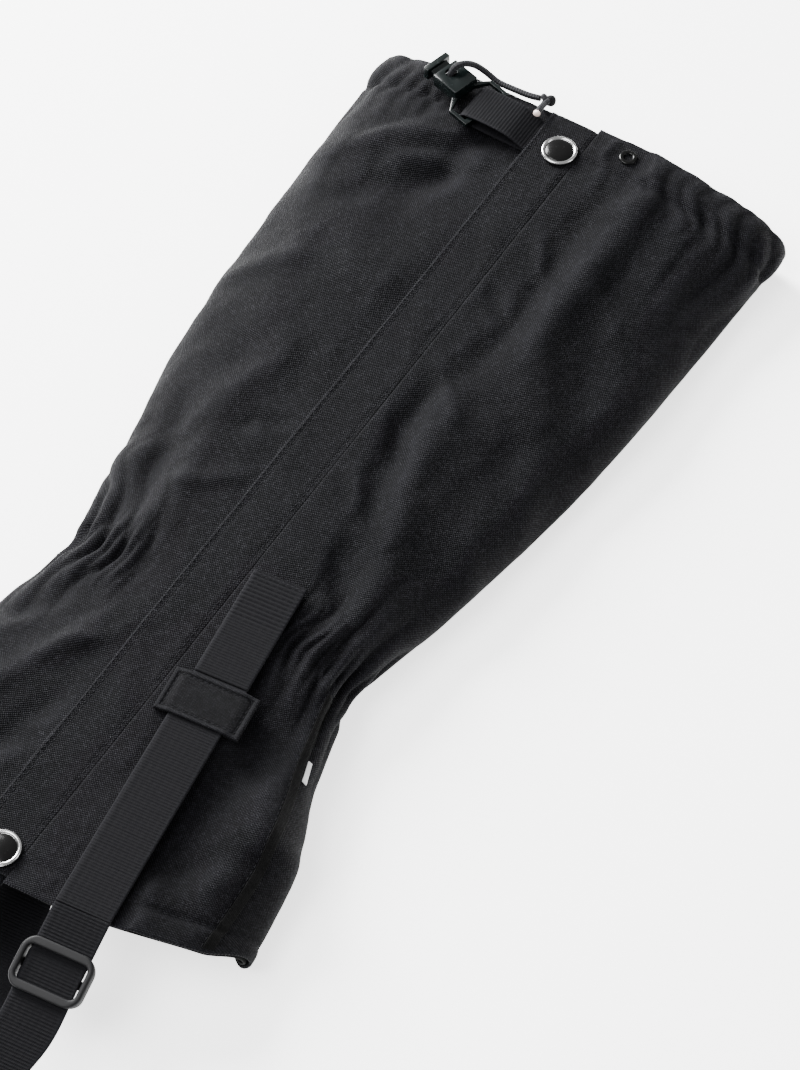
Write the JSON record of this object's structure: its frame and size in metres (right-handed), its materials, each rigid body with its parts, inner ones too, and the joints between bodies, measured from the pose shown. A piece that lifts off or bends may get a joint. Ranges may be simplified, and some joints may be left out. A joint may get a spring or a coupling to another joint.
{
  "type": "hiking gaiter",
  "caption": "Hiking gaiter lying closed: fabric sleeve for boot and shin with overlapping front closure, snaps, drawcord top with cord lock, elastic ankle and strap under the boot",
  "frame": {"origin": "on the surface that the gaiter lies on, under the front closure, level with the ankle elastic", "axes": "+Y up the leg to the top hem, +X to the side that carries the boot strap's keeper, +Z away from the surface, out of the front closure"},
  "size_m": [0.218, 0.5732, 0.049],
  "materials": {
    "fabric": "black woven ripstop-like polyester, doubled, slightly bluish, matt",
    "lining": "plain black lining and binding fabric",
    "webbing": "black ribbed polyester webbing",
    "tape": "black hook and loop tape",
    "cord": "black braided elastic cord, melted pale end",
    "elastic": "black knitted elastic",
    "plastic": "moulded black acetal, satin",
    "lock_plastic": "dark smoky glossy plastic",
    "snap_metal": "glossy black lacquered brass snap",
    "steel": "plain steel",
    "trim": "grey reflective trim"
  },
  "bodies": {
    "root": {"left_panel": "fabric", "right_panel": "fabric", "back_panel": "fabric", "strap_keeper": "fabric", "top_casing_left": "lining", "top_casing_right": "lining", "top_casing_back": "lining", "hem_facing_left": "lining", "hem_facing_right": "lining", "hem_facing_back": "lining", "ankle_channel_left": "lining", "ankle_channel_right": "lining", "heel_seam_tape": "lining", "cord_lock_tab": "webbing", "strap_upper": "webbing", "strap_anchor": "webbing", "hook_tab": "webbing", "hook_tape": "tape", "drawcord": "cord", "drawcord_loose": "cord", "drawcord_knot": "cord", "drawcord_end": "cord", "ankle_elastic_left": "elastic", "ankle_elastic_right": "elastic", "cord_lock_body": "lock_plastic", "top_snap_stud": "snap_metal", "bottom_snap_stud": "snap_metal", "casing_eyelet": "snap_metal", "top_snap_backing": "steel", "bottom_snap_backing": "steel", "cord_lock_spring": "steel", "reflective_tab": "trim"},
    "front_flap": {"front_flap": "fabric", "loop_tape": "tape", "top_snap_cap": "snap_metal", "top_snap_socket": "snap_metal", "bottom_snap_cap": "snap_metal", "bottom_snap_socket": "snap_metal"},
    "lock_button": {"cord_lock_button": "lock_plastic"},
    "strap_tail": {"strap_tail": "webbing"},
    "boot_strap": {"boot_strap": "webbing"},
    "slider": {"strap_slider": "plastic"},
    "lace_hook": {"lace_hook": "steel"}
  },
  "joints": [
    {"name": "flap_open", "type": "hinge", "parent": "root", "child": "front_flap", "pos_m": [0.0093, 0.0755, 0.0383], "axis": [0, 1, 0], "range_deg": [0, 100]},
    {"name": "lock_press", "type": "slide", "parent": "root", "child": "lock_button", "axis": [0.9659, -0.2588, 0], "range_m": [0, 0.0035], "stiffness_N_per_m": 600, "deforming": ["cord_lock_spring"]},
    {"name": "tail_lift", "type": "hinge", "parent": "root", "child": "strap_tail", "pos_m": [0.03002, -0.03394, 0.04], "axis": [0.9925, 0.1219, 0], "range_deg": [0, 75]},
    {"name": "boot_strap_swing", "type": "hinge", "parent": "root", "child": "boot_strap", "pos_m": [0.04453, -0.15215, 0.04], "axis": [-0.9925, -0.1219, 0], "range_deg": [0, 45]},
    {"name": "slider_slide", "type": "slide", "parent": "boot_strap", "child": "slider", "axis": [0.1184, -0.9645, -0.2362], "range_m": [-0.012, 0.012]},
    {"name": "hook_swing", "type": "hinge", "parent": "root", "child": "lace_hook", "pos_m": [-0.003, -0.1603, 0.0305], "axis": [1, 0, 0], "range_deg": [-45, 60]}
  ]
}
